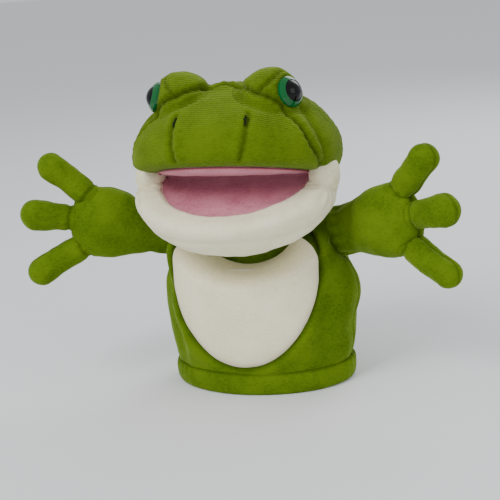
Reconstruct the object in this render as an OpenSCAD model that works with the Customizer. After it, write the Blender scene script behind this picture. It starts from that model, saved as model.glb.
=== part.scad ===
// Frog hand puppet: a plush body worn on the forearm, a head and a lower jaw worked by the
// fingers and the thumb, and two stuffed arms with three sewn fingers each.
// Origin: centre of the hand opening, in the plane of the hem's lower edge. +Z is up, the face
// looks along -Y, and +X is the puppet's own left.

/* [Body] */
// Width of the body at its widest line
body_w = 160; // [140:1:192]
// Depth of the body, chest to back
body_d = 116; // [104:1:140]
// Width of the body at the hem
hem_w = 150; // [130:1:180]
// Height of the hem band
hem_h = 18; // [12:1:21]
// How far the folded hem stands out of the body cloth
hem_fold = 1.5; // [0.5:0.1:2.5]
// Height at which the body is widest
waist_z = 70; // [64:1:76]
// Height at which the body's rounding would close, above its widest line
dome_h = 133; // [126:1:140]
// Height of the body's neck edge at the back
neck_z = 146; // [143:1:147]
// Height of the body's neck edge behind the chin
chest_rim_z = 100; // [96:1:102]
// Half width of the belly patch
belly_hw = 64; // [50:1:72]
// Height of the belly patch's lowest point
belly_z0 = 23; // [22:1:32]
// Height of the belly patch's widest line
belly_z1 = 106; // [90:1:110]

/* [Cloth] */
// Thickness of the plush cloth with its pile
cloth_t = 3; // [2:0.1:3.6]
// Thickness of the plain lining cloth
lining_t = 1.2; // [0.8:0.1:2]
// Room left between neighbouring layers
layer_gap = 0.4; // [0.3:0.1:0.8]

/* [Mouth] */
// Distance of the mouth fold in front of the body's axis
fold_front = 28; // [22:1:32]
// Height of the mouth fold above the hem
fold_z = 178; // [176:1:190]
// Angle of the palate above the horizontal at rest
palate_pitch = 16; // [14:1:20]
// Angle of the jaw floor below the horizontal at rest
floor_pitch = 22; // [20:1:26]
// Half width of the pink mouth lining
mouth_hw = 62; // [52:1:66]
// Length of the pink mouth lining from the fold to the lips
mouth_len = 58; // [48:1:60]
// Radius of the padded roll in the mouth fold
fold_r = 4.6; // [3.5:0.1:5.5]
// Depth of the jaw floor below the lip
floor_sink = 6; // [5:0.5:9]
// Bulge of the padded palate
palate_bulge = 4.5; // [2:0.5:4.5]
// Thickness of the foam stiffener in each half of the mouth
board_t = 2; // [1.5:0.1:2.2]

/* [Head] */
// Width of the head
head_w = 168; // [140:1:202]
// Depth of the head's crown, front to back
crown_d = 124; // [116:1:130]
// Height of the crown above the palate
head_h = 72; // [66:1:86]
// Reach of the snout in front of the mouth fold
snout_reach = 73; // [68:1:80]
// Width of the snout
snout_w = 152; // [140:1:160]
// Reach of the jaw in front of the mouth fold
jaw_reach = 77; // [72:1:84]
// Depth of the jaw below its lip
jaw_h = 54; // [48:1:56]
// Radius of an eye mound
mound_r = 24; // [21:0.5:26]
// Distance of an eye mound's centre from the middle
mound_x = 36; // [32:1:40]

/* [Eyes] */
// Diameter of an eye at its rim
eye_d = 24; // [20:0.5:26]
// Diameter of the pupil
pupil_d = 17; // [14:0.5:18]
// Angle between the eye's axis and straight ahead
eye_splay = 62; // [54:1:68]

/* [Hand pockets] */
// Width of the pocket for four fingers
finger_pocket_w = 86; // [76:1:90]
// Height of the pocket for four fingers
finger_pocket_h = 24; // [20:1:28]
// Width of the thumb pocket
thumb_pocket_w = 46; // [38:1:54]
// Height of the thumb pocket
thumb_pocket_h = 24; // [20:1:26]

/* [Arms] */
// Height of the shoulder seams
shoulder_z = 122; // [118:1:124]
// Depth of the shoulder seams below the body's side
shoulder_set = 4; // [3:0.5:6]
// Radius of the rounded arm root
root_r = 17; // [15:0.5:18]
// Length of the arm from the shoulder seam to the end of the palm
arm_len = 92; // [84:1:110]
// Cloth beside the outer fingers' roots
palm_edge = 10; // [8:0.5:12]
// Angle of the arm ahead of straight sideways
arm_forward = 32; // [24:1:36]
// Angle of the arm above the horizontal
arm_raise = 15; // [8:1:18]
// Radius of each finger where it is sewn to the palm
finger_root_r = 9.5; // [8.5:0.1:10]
// Radius of the upper and lower fingers' tips
finger_tip_r = 11.5; // [10:0.1:12.5]
// Radius of the middle finger's tip
middle_tip_r = 13; // [11:0.1:14]
// Length of the upper finger between the centres of its root and tip
upper_len = 42; // [34:1:51]
// Length of the middle finger between the centres of its root and tip
middle_len = 33; // [27:1:40]
// Length of the lower finger between the centres of its root and tip
lower_len = 45; // [37:1:54]
// How far each finger bends to either side
finger_flex = 30; // [15:1:35]

/* [Hidden] */
$fn = 64;
big = 300;
overrun = 1;

green = [0.42, 0.56, 0.10];
cream = [0.93, 0.91, 0.83];
pink = [0.86, 0.50, 0.58];
filling_white = [0.96, 0.96, 0.95];

// ---- shared shapes ----

// Round shapes are turned so that no cut runs along the line where their surface closes
closing_line = 50;

module ball(r, turn = closing_line)
    rotate([0, 0, turn]) sphere(r);

// A straight oval bar with semi-axes rx and ry
module oval_bar(rx, ry, h)
    scale([rx, ry, 1]) rotate([0, 0, closing_line]) cylinder(h = h, r = 1);

// An ellipsoid with semi-axes r about point c
module ellipsoid(r, c = [0, 0, 0], turn = closing_line)
    translate(c) scale(r / 10) ball(10, turn);

// Everything above height z
module above(z)
    translate([-big, -big, z]) cube(2 * big);

// Everything below height z
module below(z)
    translate([-big, -big, z - 2 * big]) cube(2 * big);

// Everything in front of y
module ahead_of(y)
    translate([-big, y - 2 * big, -big]) cube(2 * big);

// A side outline of [y, z] points, carried right through along x
module side_outline(points)
    rotate([90, 0, 90]) linear_extrude(2 * big, center = true) polygon(points);

// A plain block between two opposite corners
module block(low, high)
    translate(low) cube(high - low);

// The children on the puppet's left for side 1, mirrored to its right for side -1
module on_side(side)
    mirror([side < 0 ? 1 : 0, 0, 0]) children();

// ---- body ----

body_hw = body_w / 2;
body_hd = body_d / 2;
hem_hw = hem_w / 2;
depth_ratio = body_d / body_w;
body_closing_line = 255;
arm_hole_gap = 3.6;

// How full the body is at height z, as a share of its widest line
function fullness(z) = sqrt(1 - pow((z - waist_z) / dome_h, 2));

// Where the arm's root turns in the body's side
shoulder = [body_hw * fullness(shoulder_z) - shoulder_set, 6, shoulder_z];

// The body's outer form, taken in by t on every side
module body_form(t)
    ellipsoid([body_hw - t, body_hd - t, dome_h - t], [0, 0, waist_z], body_closing_line);

// The neck edge runs level across the back and slopes down to the chest rim in front
neck_slope = (neck_z - chest_rim_z) / body_hd;
front_outline = [[-big, hem_h], [0, hem_h], [0, neck_z], [-big, neck_z - big * neck_slope]];
back_outline = [[0, hem_h], [big, hem_h], [big, neck_z], [0, neck_z]];

// The part of the body's cloth inside a side outline, with the holes for the arms
module body_cloth(outline)
    difference() {
        intersection() {
            body_form(0);
            side_outline(outline);
        }
        body_form(cloth_t);
        for (side = [-1, 1])
            on_side(side) translate(shoulder) ball(root_r + arm_hole_gap);
    }

// The oval that the belly patch fills, seen from the front
module belly_oval()
    translate([0, 0, belly_z1])
        rotate([90, 0, 0])
            oval_bar(belly_hw, belly_z1 - belly_z0, big);

module body_front()
    color(green)
        difference() {
            body_cloth(front_outline);
            belly_oval();
        }

module belly_patch()
    color(cream)
        intersection() {
            body_cloth(front_outline);
            belly_oval();
        }

module body_back()
    color(green) body_cloth(back_outline);

hem_inner = hem_hw - cloth_t - hem_fold;

// The cloth folded under at the hem: an oval ring with a flat lower edge
module hem_band()
    color(green)
        difference() {
            scale([1, depth_ratio, 1])
                difference() {
                    translate([0, 0, -overrun])
                        cylinder(
                            h = hem_h + overrun,
                            r1 = hem_hw - overrun * hem_fold / hem_h,
                            r2 = hem_hw + hem_fold
                        );
                    translate([0, 0, -2 * overrun])
                        cylinder(h = hem_h + 3 * overrun, r = hem_inner);
                }
            below(0);
        }

neck_side_gap = 1.6;
neck_inset = 10;
neck_hw = shoulder[0] - root_r - neck_side_gap;
neck_hd = body_hd * fullness(neck_z) - cloth_t - neck_inset;
neck_back = 5;
neck_z0 = 103;
lining_hw = hem_inner - cloth_t;
lining_neck_gap = 2;
lining_top = neck_z0 - lining_neck_gap;
lining_ratio = 0.72;

// The inside sleeve that the hand slides up, narrowing from the hem to the neck
module body_lining()
    color(cream)
        translate([0, 0, hem_h + layer_gap])
            scale([1, lining_ratio, 1])
                difference() {
                    lining_h = lining_top - hem_h - layer_gap;
                    cylinder(h = lining_h, r1 = lining_hw, r2 = neck_hw);
                    translate([0, 0, -overrun])
                        cylinder(
                            h = lining_h + 2 * overrun,
                            r1 = lining_hw - lining_t,
                            r2 = neck_hw - lining_t
                        );
                }

// ---- frames of the head and the jaw, which share the mouth fold as their hinge ----

fold = [0, -fold_front, fold_z];
fold_clearance = 0.6;

module in_head()
    translate(fold) rotate([-palate_pitch, 0, 0]) children();

module in_jaw()
    translate(fold) rotate([floor_pitch, 0, 0]) children();

// A bar along the hinge axis
module fold_bar(r, half)
    rotate([0, 90, 0]) cylinder(h = 2 * half, r = r, center = true);

module mouth_fold()
    color(pink) translate(fold) fold_bar(fold_r, mouth_hw);

jaw_back_lean = 14;
neck_t = 2;

// The space in front of the jaw's back wall, which starts t ahead of the fold
module ahead_of_jaw_back(t)
    rotate([-jaw_back_lean, 0, 0]) ahead_of(-t);

// An upright bar with flat front and back and round ends, taken in by t
module neck_bar(t, extra)
    translate([0, neck_back, neck_z0 - extra])
        linear_extrude(fold_z - neck_z0 + 2 * extra) {
            for (side = [-1, 1])
                translate([side * (neck_hw - neck_hd), 0]) circle(neck_hd - t);
            square([2 * (neck_hw - neck_hd), 2 * (neck_hd - t)], center = true);
        }

// The soft neck: open below to the body, above to the head and in front to the jaw
module neck_tube()
    color(green)
        difference() {
            neck_bar(0, 0);
            neck_bar(neck_t, overrun);
            in_head() above(-layer_gap);
            in_jaw() ahead_of_jaw_back(-layer_gap);
            translate(fold) fold_bar(2 * fold_r, mouth_hw);
        }

// ---- head, drawn with the palate level and the mouth fold at the origin ----

crown_z = 18;
crown = [head_w / 2, crown_d / 2, head_h - crown_z];
snout_half_d = 46;
snout_half_h = 44;
snout = [snout_w / 2, snout_half_d, snout_half_h];
snout_z = 12;
eye_lean = 10;
mound_y = -27;
mound_drop = 18;
mound_at = [mound_x, mound_y, head_h - mound_drop];
eye_seat = sqrt(pow(mound_r, 2) - pow(eye_d / 2, 2));

// The head's outer form, taken in by t on every side
module head_form(t)
    difference() {
        union() {
            ellipsoid(crown - [t, t, t], [0, 0, crown_z]);
            ellipsoid(snout - [t, t, t], [0, snout[1] - snout_reach, snout_z]);
        }
        below(t);
        fold_bar(fold_r + fold_clearance + t, big);
    }

// The frame of the left eye: z points out of the eye, and the origin is the mound's centre
module at_eye()
    translate(mound_at) rotate([0, 0, eye_splay - 90]) rotate([0, 90 - eye_lean, 0]) children();

// Room for the eye's parts through cloth and filling, r wide and from z upward
module eye_room(r, z)
    at_eye() translate([0, 0, z]) cylinder(h = 2 * mound_r, r = r);

shank_r = 2.5;
washer_r = 8;
washer_t = 1.5;
eye_fit = 0.3;
washer_bore_fit = 0.05;
washer_z = eye_seat - cloth_t - washer_t - 2 * eye_fit;

// The pink ellipse ahead of the fold, r beyond the lining's edge, between two heights
module mouth_outline(r, z0, z1)
    intersection() {
        translate([0, 0, z0]) oval_bar(mouth_hw + r, mouth_len + r, z1 - z0);
        ahead_of(0);
    }

pocket_front = 46;
pocket_rear = 40;
head_floor = cloth_t + layer_gap;
passage_hw = finger_pocket_w / 2 - lining_t;

// The way from the neck into the finger pocket, between two heights
module passage(z0, z1)
    block([-passage_hw, 0, z0], [passage_hw, pocket_rear - lining_t, z1]);

// The whole sewn shell of the head, before it is cut into its panels
module head_shell()
    difference() {
        head_form(0);
        head_form(cloth_t);
        mouth_outline(layer_gap, -overrun, cloth_t + overrun);
        passage(-overrun, cloth_t + overrun);
        for (side = [-1, 1])
            on_side(side) {
                eye_room(eye_d / 2 + eye_fit, washer_z - eye_fit);
                nostril_bar(stitch_r + eye_fit, 1);
            }
    }

snout_seam_y = -30;
seam_lean = 22;
cheek_in = 34;
cheek_rear = 14;
cheek_rise = 16;

// The space in front of the seam that arches over the snout
module ahead_of_snout_seam()
    translate([0, snout_seam_y, crown_z]) rotate([-seam_lean, 0, 0]) ahead_of(0);

// The space beside the eye mounds that the left cheek panel takes
module cheek_space()
    block([cheek_in, -big, -big], [big, cheek_rear, crown_z + cheek_rise]);

module snout_panel()
    color(green)
        in_head()
            intersection() {
                head_shell();
                ahead_of_snout_seam();
            }

module cheek(side)
    color(green)
        in_head()
            intersection() {
                difference() {
                    head_shell();
                    ahead_of_snout_seam();
                }
                on_side(side) cheek_space();
            }

module head_back()
    color(green)
        in_head()
            difference() {
                head_shell();
                ahead_of_snout_seam();
                for (side = [-1, 1])
                    on_side(side) cheek_space();
            }

module head_filling()
    color(filling_white)
        in_head()
            difference() {
                head_form(cloth_t + layer_gap);
                block(
                    [-finger_pocket_w / 2 - layer_gap, -pocket_front - layer_gap, 0],
                    [finger_pocket_w / 2 + layer_gap, pocket_rear + layer_gap,
                        head_floor + finger_pocket_h + layer_gap]
                );
                for (side = [-1, 1])
                    on_side(side) {
                        eye_room(eye_d / 2 + eye_fit, washer_z - eye_fit);
                        nostril_bar(stitch_r + eye_fit, 1);
                    }
            }

// The pink palate cloth over its thin padding: the lower half of a flat ellipsoid
module palate_lining()
    color(pink)
        in_head()
            difference() {
                ellipsoid([mouth_hw, mouth_len, palate_bulge]);
                above(0);
                rotate([0, 0, 180]) ahead_of(0);
                fold_bar(fold_r + fold_clearance, big);
            }

module palate_board()
    color("ivory")
        in_head()
            difference() {
                mouth_outline(-layer_gap, layer_gap, layer_gap + board_t);
                fold_bar(fold_r + fold_clearance, big);
            }

// The pocket for four fingers: a flat bag that opens downward into the neck
module finger_pocket()
    color(cream)
        in_head()
            difference() {
                block(
                    [-finger_pocket_w / 2, -pocket_front, head_floor],
                    [finger_pocket_w / 2, pocket_rear, head_floor + finger_pocket_h]
                );
                block(
                    [-passage_hw, lining_t - pocket_front, head_floor + lining_t],
                    [passage_hw, pocket_rear - lining_t, head_floor + finger_pocket_h - lining_t]
                );
                passage(0, head_floor + 2 * lining_t);
                fold_bar(fold_r + fold_clearance + head_floor, big);
            }

// ---- eyes ----

// The cloth cap of an eye mound: it is pressed flat under the eye and pierced for the shank
module eye_mound(side)
    color(green)
        in_head()
            on_side(side)
                difference() {
                    translate(mound_at) sphere(mound_r);
                    difference() {
                        translate(mound_at) sphere(mound_r - cloth_t);
                        eye_room(eye_d / 2, eye_seat - cloth_t);
                    }
                    eye_room(eye_d / 2 + eye_fit, eye_seat - eye_fit / 2);
                    eye_room(shank_r + eye_fit, 0);
                    head_form(-eye_fit);
                }

module mound_filling(side)
    color(filling_white)
        in_head()
            on_side(side)
                difference() {
                    translate(mound_at) sphere(mound_r - cloth_t - layer_gap);
                    eye_room(eye_d / 2 + eye_fit, washer_z - eye_fit);
                    eye_room(shank_r + eye_fit, eye_seat - shank_len - eye_fit);
                    head_form(-eye_fit);
                }

lens_dome_r = 15;
lens_rise = 8;
pupil_dome_r = 10.5;
pupil_rise = 9;
pupil_base = 1.2;
shank_end = 3;
shank_len = cloth_t + washer_t + shank_end;

// The clear green rim of a safety eye: a low dome bored for the pupil
module eye_lens(side)
    color([0.05, 0.55, 0.25, 0.8])
        in_head()
            on_side(side)
                at_eye()
                    translate([0, 0, eye_seat])
                        difference() {
                            intersection() {
                                cylinder(h = eye_d, d = eye_d);
                                translate([0, 0, lens_rise - lens_dome_r]) sphere(lens_dome_r);
                            }
                            translate([0, 0, pupil_base])
                                cylinder(h = eye_d, d = pupil_d + eye_fit);
                            translate([0, 0, -overrun])
                                cylinder(h = eye_d, r = shank_r + eye_fit / 2);
                        }

// The black pupil, a higher dome in one piece with the shank that goes through the cloth
module eye_pupil(side)
    color([0.03, 0.03, 0.03])
        in_head()
            on_side(side)
                at_eye()
                    translate([0, 0, eye_seat]) {
                        intersection() {
                            translate([0, 0, pupil_base + eye_fit / 2])
                                cylinder(h = eye_d, d = pupil_d);
                            translate([0, 0, pupil_rise - pupil_dome_r]) sphere(pupil_dome_r);
                        }
                        translate([0, 0, -shank_len])
                            cylinder(h = shank_len + pupil_base + 2 * eye_fit, r = shank_r);
                    }

// The locking washer pressed on the shank behind the cloth
module eye_washer(side)
    color("white")
        in_head()
            on_side(side)
                at_eye()
                    translate([0, 0, washer_z])
                        difference() {
                            cylinder(h = washer_t, r = washer_r);
                            translate([0, 0, -overrun])
                                cylinder(h = washer_t + 2 * overrun, r = shank_r + washer_bore_fit);
                        }

stitch_r = 0.9;
nostril_x = 31;
nostril_y0 = -59;
nostril_y1 = -65;

// Height of the snout's surface above the palate at a point on its top
function snout_height(x, y) =
    snout_z + snout[2] * sqrt(1 - pow(x / snout[0], 2) - pow((y - snout[1] + snout_reach) / snout[1], 2));

// A bar of thread laid down the snout in the nostril dart, longer by extra at each end
module nostril_bar(r, extra = 0) {
    drop = snout_height(nostril_x, nostril_y0) - snout_height(nostril_x, nostril_y1);
    run = nostril_y0 - nostril_y1;
    length = norm([drop, run]);
    translate([nostril_x, nostril_y0, snout_height(nostril_x, nostril_y0)])
        rotate([90 + atan2(drop, run), 0, 0])
            translate([0, 0, -extra])
                cylinder(h = length + 2 * extra, r = r);
}

module nostril_stitch(side)
    color([0.16, 0.2, 0.05])
        in_head() on_side(side) nostril_bar(stitch_r);

// ---- jaw, drawn with the lip level and the mouth fold at the origin ----

jaw_drop = 6;
jaw_half_d = 67;
jaw = [head_w / 2 - 1, jaw_half_d, jaw_h - jaw_drop];
thumb_front = 48;
thumb_top = -(floor_sink + lining_t + board_t + 2 * layer_gap) - layer_gap;

// Side outline of the jaw, taken in by t: lip level, corner cut off for the fold, back wall
function jaw_outline(t) =
    let (
        corner_angle = 90 - jaw_back_lean,
        room = (fold_r + fold_clearance + t) / cos(corner_angle / 2),
        down = [-sin(jaw_back_lean), -cos(jaw_back_lean)],
        back = [-layer_gap - t, 0]
    )
    [[-big, -t], [-room, -t], back + room * down, back + big * down, [-big, -big]];

// The jaw's outer form, taken in by t on every side
module jaw_form(t)
    intersection() {
        ellipsoid(jaw - [t, t, t], [0, jaw_half_d - jaw_reach, -jaw_drop]);
        side_outline(jaw_outline(t));
    }

// The block taken by the thumb pocket, r beyond it on every side
module thumb_block(r, rear)
    block(
        [-thumb_pocket_w / 2 - r, -thumb_front - r, thumb_top - thumb_pocket_h - r],
        [thumb_pocket_w / 2 + r, rear, thumb_top + r]
    );

// The cream cloth of the lower jaw: lip, chin and back wall, open at the floor and the thumb
module chin_panel()
    color(cream)
        in_jaw()
            difference() {
                jaw_form(0);
                jaw_form(cloth_t);
                mouth_outline(lining_t + layer_gap, thumb_top, overrun);
                thumb_block(layer_gap, big);
            }

module jaw_filling()
    color(filling_white)
        in_jaw()
            difference() {
                jaw_form(cloth_t + layer_gap);
                thumb_block(layer_gap, big);
                mouth_outline(lining_t + layer_gap, thumb_top, overrun);
            }

// The pink floor of the mouth: a shallow dish hung from the lip
module jaw_floor()
    color(pink)
        in_jaw()
            difference() {
                dish = [mouth_hw, mouth_len, floor_sink];
                ellipsoid(dish + [lining_t, lining_t, lining_t]);
                ellipsoid(dish);
                above(0);
                rotate([0, 0, 180]) ahead_of(0);
                fold_bar(fold_r + fold_clearance, big);
            }

board_share = 0.75;

module jaw_board()
    color("ivory")
        in_jaw()
            translate([0, 0, -floor_sink - lining_t - layer_gap - board_t])
                difference() {
                    oval_bar(mouth_hw * board_share, mouth_len * board_share, board_t);
                    rotate([0, 0, 180]) ahead_of(fold_r + fold_clearance);
                }

// The pocket for the thumb: a flat bag that opens backward into the neck
module thumb_pocket()
    color(cream)
        in_jaw()
            intersection() {
                difference() {
                    thumb_block(0, big);
                    thumb_block(-lining_t, 2 * big);
                }
                ahead_of_jaw_back(layer_gap);
            }

// ---- arms ----

palm_hh = 2 * finger_root_r + palm_edge;
palm_ht = finger_root_r + palm_edge;
palm_reach = 34;
sleeve_len = arm_len - palm_reach;
root_in = 4.6;
sleeve_in = 1.5;
socket_gap = 0.5;
root_closing_line = 230;
sleeve_closing_line = 100;
palm_closing_line = 300;
socket_back = (finger_root_r + 2) * sin(finger_flex);

// Each finger: distance of its root along the arm, its height there, its angle, length and tip
fingers = [
    [arm_len - 14, 2 * finger_root_r, 30, upper_len, finger_tip_r],
    [arm_len - 4, 0, -2, middle_len, middle_tip_r],
    [arm_len - 17, -2 * finger_root_r, -40, lower_len, finger_tip_r]
];

// The frame of an arm: x runs along the arm from the shoulder seam, and z up the palm
module in_arm(side)
    on_side(side) translate(shoulder) rotate([0, -arm_raise, -arm_forward]) children();

// The frame of a finger: x runs along the finger from its root
module in_finger(finger)
    translate([finger[0], 0, finger[1]]) rotate([0, -finger[2], 0]) children();

// The arm's outer form, taken in by t on every side, with a socket for each finger's root
module arm_form(t)
    difference() {
        union() {
            ball(root_r - t, root_closing_line);
            rotate([0, 90, 0])
                rotate([0, 0, sleeve_closing_line])
                    cylinder(h = sleeve_len, r1 = root_r - root_in - t, r2 = palm_ht - sleeve_in - t);
            ellipsoid([palm_reach - t, palm_ht - t, palm_hh - t], [sleeve_len, 0, 0], palm_closing_line);
        }
        for (finger = fingers)
            in_finger(finger) {
                translate([-socket_back - t, -big, -big]) cube(2 * big);
                ball(finger_root_r + socket_gap + t);
            }
    }

module arm(side)
    color(green)
        in_arm(side)
            difference() {
                arm_form(0);
                arm_form(cloth_t);
            }

module arm_filling(side)
    color(filling_white)
        in_arm(side) arm_form(cloth_t + layer_gap);

// A finger's outer form, taken in by t: a rounded tube that widens to its tip
module finger_form(finger, t) {
    sphere(finger_root_r - t);
    rotate([0, 90, 0])
        cylinder(h = finger[3], r1 = finger_root_r - t, r2 = finger[4] - t);
    translate([finger[3], 0, 0]) sphere(finger[4] - t);
}

module finger_cloth(side, finger)
    color(green)
        in_arm(side) in_finger(finger)
            difference() {
                finger_form(finger, 0);
                finger_form(finger, cloth_t);
            }

module finger_filling(side, finger)
    color(filling_white)
        in_arm(side) in_finger(finger) finger_form(finger, cloth_t + layer_gap);

body_front();
body_back();
belly_patch();
hem_band();
body_lining();
neck_tube();
mouth_fold();
snout_panel();
cheek(1);  // cheek_left
cheek(-1);  // cheek_right
head_back();
head_filling();
palate_lining();
palate_board();
finger_pocket();
eye_mound(1);  // eye_mound_left
eye_mound(-1);  // eye_mound_right
mound_filling(1);  // mound_filling_left
mound_filling(-1);  // mound_filling_right
eye_lens(1);  // eye_lens_left
eye_lens(-1);  // eye_lens_right
eye_pupil(1);  // eye_pupil_left
eye_pupil(-1);  // eye_pupil_right
eye_washer(1);  // eye_washer_left
eye_washer(-1);  // eye_washer_right
nostril_stitch(1);  // nostril_stitch_left
nostril_stitch(-1);  // nostril_stitch_right
chin_panel();
jaw_filling();
jaw_floor();
jaw_board();
thumb_pocket();
arm(1);  // arm_left
arm(-1);  // arm_right
arm_filling(1);  // arm_filling_left
arm_filling(-1);  // arm_filling_right
finger_cloth(1, fingers[0]);  // upper_finger_left
finger_cloth(1, fingers[1]);  // middle_finger_left
finger_cloth(1, fingers[2]);  // lower_finger_left
finger_cloth(-1, fingers[0]);  // upper_finger_right
finger_cloth(-1, fingers[1]);  // middle_finger_right
finger_cloth(-1, fingers[2]);  // lower_finger_right
finger_filling(1, fingers[0]);  // upper_finger_filling_left
finger_filling(1, fingers[1]);  // middle_finger_filling_left
finger_filling(1, fingers[2]);  // lower_finger_filling_left
finger_filling(-1, fingers[0]);  // upper_finger_filling_right
finger_filling(-1, fingers[1]);  // middle_finger_filling_right
finger_filling(-1, fingers[2]);  // lower_finger_filling_right
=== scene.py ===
import math

import bpy
import numpy as np
from mathutils import Matrix, Vector


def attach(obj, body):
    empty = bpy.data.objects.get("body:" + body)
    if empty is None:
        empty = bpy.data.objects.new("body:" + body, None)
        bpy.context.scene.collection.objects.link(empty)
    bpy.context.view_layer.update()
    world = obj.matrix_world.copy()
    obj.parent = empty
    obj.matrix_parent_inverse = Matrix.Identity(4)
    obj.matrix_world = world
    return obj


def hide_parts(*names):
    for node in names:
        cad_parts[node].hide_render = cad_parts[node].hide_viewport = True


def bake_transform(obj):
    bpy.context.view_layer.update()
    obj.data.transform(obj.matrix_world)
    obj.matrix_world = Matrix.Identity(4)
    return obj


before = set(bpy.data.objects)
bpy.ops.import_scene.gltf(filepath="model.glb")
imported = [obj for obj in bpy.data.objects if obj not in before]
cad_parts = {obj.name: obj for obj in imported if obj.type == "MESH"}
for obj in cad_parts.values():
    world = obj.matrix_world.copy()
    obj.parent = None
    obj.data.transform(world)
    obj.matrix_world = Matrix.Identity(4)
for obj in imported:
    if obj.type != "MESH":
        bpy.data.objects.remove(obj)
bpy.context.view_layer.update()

# ---- Body cloth ----
# A tube of green short-pile plush that hangs over the wearer's forearm, cut as a front and a
# back, sewn up the sides and turned in at the neck. The front has an oval left for the belly.

BODY_HALF = np.array([80.0, 58.0, 133.0])
WAIST_Z = 70.0
NECK_Z, CHEST_Z = 146.0, 100.0
BELLY_HALF_W, BELLY_MID_Z, BELLY_HALF_H, BELLY_TOP_H = 64.0, 106.0, 83.0, 34.0
SHOULDER = np.array([69.63, 6.0, 122.0])
BODY_LOW_Z, BODY_THICK, OVAL_MEAN_R = 14.5, 2.4, 62.0


class Level:
    """A value that runs over a surface. Sums on it add Math nodes."""

    def __init__(self, socket):
        self.socket = socket

    def sum(self, operation, first, second):
        node = self.socket.id_data.nodes.new("ShaderNodeMath")
        node.operation = operation
        for port, value in zip(node.inputs, (first, second)):
            if isinstance(value, Level):
                self.socket.id_data.links.new(value.socket, port)
            else:
                port.default_value = value
        return Level(node.outputs[0])

    def __add__(self, other):
        return self.sum("ADD", self, other)

    def __radd__(self, other):
        return self.sum("ADD", other, self)

    def __sub__(self, other):
        return self.sum("SUBTRACT", self, other)

    def __rsub__(self, other):
        return self.sum("SUBTRACT", other, self)

    def __mul__(self, other):
        return self.sum("MULTIPLY", self, other)

    def __rmul__(self, other):
        return self.sum("MULTIPLY", other, self)


class Finish:
    """A material in the making: one shader, and the nodes that feed it."""

    def __init__(self, name, **constants):
        self.material = bpy.data.materials.new(name)
        self.material.use_nodes = True
        self.tree = self.material.node_tree
        self.tree.nodes.clear()
        self.shader = self.node("ShaderNodeBsdfPrincipled")
        for port, value in constants.items():
            self.shader.inputs[port.replace("_", " ")].default_value = value
        self.node("ShaderNodeOutputMaterial", None, {"Surface": Level(self.shader.outputs[0])})

    def node(self, kind, settings=None, ports=None):
        node = self.tree.nodes.new(kind)
        for name, value in (settings or {}).items():
            if name == "stops":
                while len(node.color_ramp.elements) < len(value):
                    node.color_ramp.elements.new(0.5)
                for stop, (place, colour) in zip(node.color_ramp.elements, value):
                    stop.position, stop.color = place, (*colour, 1)
            else:
                setattr(node, name, value)
        for name, value in (ports or {}).items():
            if isinstance(value, Level):
                self.tree.links.new(value.socket, node.inputs[name])
            else:
                node.inputs[name].default_value = value
        return node

    def rest(self):
        """Where each point of the cloth lay when it was built, in metres."""
        found = self.node("ShaderNodeAttribute", {"attribute_name": "rest"})
        return Level(found.outputs["Vector"])

    def mark(self, name):
        found = self.node("ShaderNodeAttribute", {"attribute_name": name})
        return Level(found.outputs["Fac"])

    def noise(self, scale, detail=2.0, stretch=(1, 1, 1)):
        place = self.node("ShaderNodeVectorMath", {"operation": "MULTIPLY"},
                          {0: self.rest(), 1: stretch})
        made = self.node("ShaderNodeTexNoise", None,
                         {"Vector": Level(place.outputs[0]), "Scale": scale, "Detail": detail})
        return Level(made.outputs[0])

    def mix(self, share, first, second, blend="MIX"):
        colours = [c if isinstance(c, Level) else (*c, 1) for c in (first, second)]
        made = self.node("ShaderNodeMix", {"data_type": "RGBA", "blend_type": blend},
                         {0: share, 6: colours[0], 7: colours[1]})
        return Level(made.outputs[2])

    def ease(self, value, low, high):
        made = self.node("ShaderNodeMapRange", {"interpolation_type": "SMOOTHSTEP"},
                         {"Value": value, "From Min": low, "From Max": high})
        return Level(made.outputs[0])

    def feed(self, port, value):
        self.tree.links.new(value.socket, self.shader.inputs[port])

    def bump(self, height, distance, strength=1.0):
        made = self.node("ShaderNodeBump", None,
                         {"Height": height, "Distance": distance, "Strength": strength})
        self.feed("Normal", Level(made.outputs[0]))


def plush(name, pale, mid, deep, sheen, rib=0.0, depth=0.0011, roughness=0.92):
    """Short-pile cloth: patches of nap brushed both ways, flecks of pile, and painted shade in its seams,
    creases and hollows.
    """
    made = Finish(name, Sheen_Weight=0.42, Sheen_Roughness=0.34, Sheen_Tint=(*sheen, 1),
                  Roughness=roughness, Specular_IOR_Level=0.05)
    nap = made.ease(made.noise(38, 3), 0.36, 0.66)
    fleck = made.noise(780, 2)
    tuft = made.noise(330, 2, (1, 1, 1.9))
    colour = made.mix(nap, mid, pale)
    colour = made.mix(made.ease(fleck * 0.55 + tuft * 0.45, 0.40, 0.62) * 0.5, colour, pale)
    colour = made.mix(made.ease(1.0 - tuft, 0.50, 0.72) * 0.22, colour, deep)
    height = fleck * 0.55 + tuft * 0.6
    if rib:
        rows = made.node("ShaderNodeTexWave", {"wave_type": "BANDS", "bands_direction": "Z"},
                         {"Vector": made.rest(), "Scale": 250.0, "Distortion": 3.2,
                          "Detail": 2.0, "Detail Scale": 5.0})
        rows = Level(rows.outputs["Fac"])
        colour = made.mix(rows * rib, colour, deep)
        height = height + (1.0 - rows) * 0.5
    # Painted shade: each point's shade mark darkens the colour towards a deeper green in seams, creases and
    # hollows.
    colour = made.mix(made.mark("crease") * 0.82, colour, tuple(0.55 * c for c in deep))
    made.feed("Base Color", colour)
    made.bump(height, depth, 0.85)
    return made.material


GREEN = plush("green_plush_cloth", (0.112, 0.194, 0.005), (0.070, 0.134, 0.003),
              (0.036, 0.076, 0.001), (0.62, 0.80, 0.22))


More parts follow.
